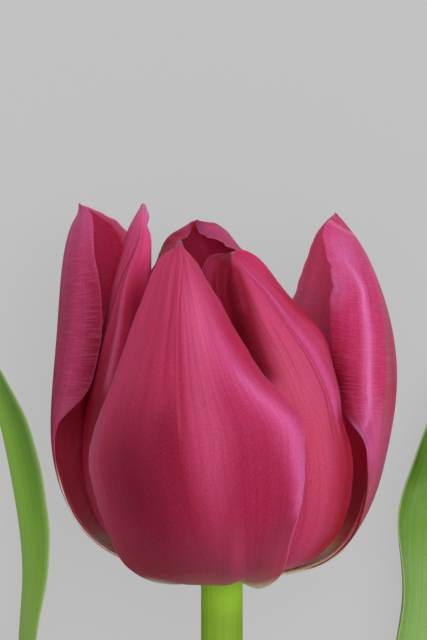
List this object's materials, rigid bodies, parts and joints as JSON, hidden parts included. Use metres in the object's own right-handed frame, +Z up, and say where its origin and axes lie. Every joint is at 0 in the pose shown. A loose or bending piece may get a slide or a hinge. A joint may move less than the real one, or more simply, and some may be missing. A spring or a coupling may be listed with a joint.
{
  "type": "tulip flower",
  "caption": "Cut tulip lying on its side: a cupped bloom of overlapping petals round its stamens and pistil, on a curved stem with long clasping leaves.",
  "frame": {"origin": "on the surface that the flower lies on, below the middle of its bounding box", "axes": "+Y along the stem towards the tip of the bloom, +Z up from the surface that it lies on, +X to the right of the bloom seen from above with its tip pointing away"},
  "size_m": [0.0996, 0.2132, 0.0468],
  "materials": {
    "outer_petal": "satin petal, magenta pink",
    "inner_petal": "satin petal, crimson pink",
    "stem": "smooth waxy yellow-green",
    "leaf": "smooth waxy green with a grey bloom",
    "filament": "smooth dark purple",
    "anther": "matte, powdery with pollen",
    "pistil": "smooth pale green"
  },
  "bodies": {
    "root": {"outer_petal_front": "outer_petal", "outer_petal_right": "outer_petal", "outer_petal_left": "outer_petal", "inner_petal_right": "inner_petal", "inner_petal_left": "inner_petal", "inner_petal_back": "inner_petal", "stem": "stem", "leaf_left": "leaf", "leaf_right": "leaf", "pistil": "pistil", "filament_1": "filament", "filament_2": "filament", "filament_3": "filament", "filament_4": "filament", "filament_5": "filament", "filament_6": "filament", "anther_1": "anther", "anther_2": "anther", "anther_3": "anther", "anther_4": "anther", "anther_5": "anther", "anther_6": "anther"}
  },
  "joints": []
}
